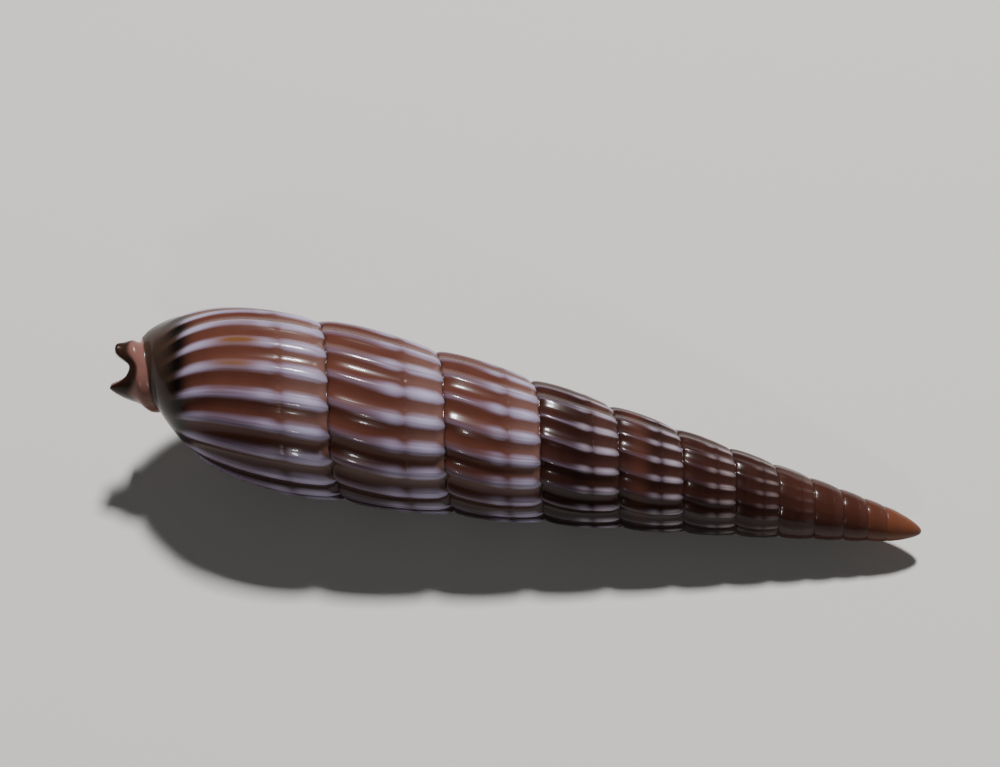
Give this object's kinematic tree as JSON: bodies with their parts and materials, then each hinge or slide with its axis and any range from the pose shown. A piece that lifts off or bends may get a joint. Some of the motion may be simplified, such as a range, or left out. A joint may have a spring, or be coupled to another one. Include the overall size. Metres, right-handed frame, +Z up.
{
  "type": "auger shell",
  "caption": "Slender, many-whorled auger shell with low axial ribs, a narrow mouth and a notched canal, lying on its side.",
  "frame": {"origin": "under the middle of the shell's box, on the surface that it lies on", "axes": "+X towards the tip of the spire, +Z up, the back turned up and to the -Y side"},
  "size_m": [0.0496, 0.011, 0.0111],
  "materials": {
    "shell": "glossy, dark reddish-brown between greyish-mauve ribs"
  },
  "bodies": {
    "root": {"shell": "shell"}
  },
  "joints": []
}
